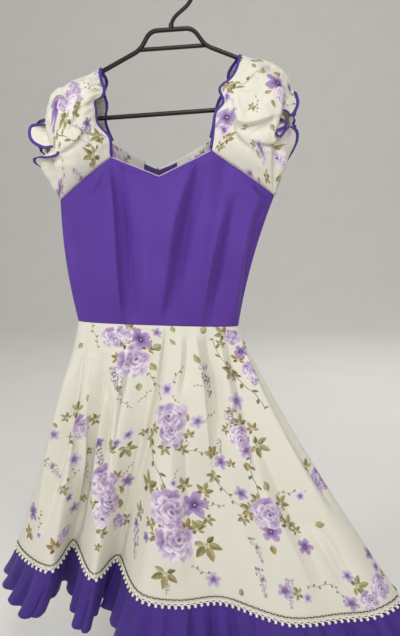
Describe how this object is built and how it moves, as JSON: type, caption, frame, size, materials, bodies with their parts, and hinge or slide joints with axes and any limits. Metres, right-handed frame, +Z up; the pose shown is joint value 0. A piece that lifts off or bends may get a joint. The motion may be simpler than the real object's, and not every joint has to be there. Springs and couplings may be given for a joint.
{
  "type": "cueca dress on a tubular clothes hanger",
  "caption": "Short-sleeved dance dress with a fitted bodice, puff sleeves, flared skirt, lace edge and flounce, hung on a plain hanger.",
  "frame": {"origin": "top of the inside of the hanger's hook, where a rail carries it", "axes": "+X to the viewer's right, +Y from the dress's front to its back, +Z up"},
  "size_m": [0.9203, 0.4403, 1.289],
  "materials": {
    "purple_cloth": "matte violet poplin",
    "flounce_cloth": "matte deep violet, gathered",
    "flowered_cloth": "off-white with lilac roses, soft sheen",
    "binding": "matte violet edging",
    "lace": "cream cotton lace",
    "label": "dark woven, blank",
    "hanger": "black, glossy"
  },
  "bodies": {
    "root": {"bodice_front": "purple_cloth", "bodice_back": "purple_cloth", "back_neck_facing": "flowered_cloth", "front_neck_edge": "flowered_cloth", "label": "label", "sleeve_left": "flowered_cloth", "sleeve_right": "flowered_cloth", "neck_binding_left": "binding", "neck_binding_right": "binding", "cuff_binding_left": "binding", "cuff_binding_right": "binding", "skirt_front": "flowered_cloth", "skirt_back": "flowered_cloth", "hem_lace_front": "lace", "hem_lace_back": "lace", "flounce_front": "flounce_cloth", "flounce_back": "flounce_cloth", "hanger_frame": "hanger", "hanger_hook": "hanger"}
  },
  "joints": []
}
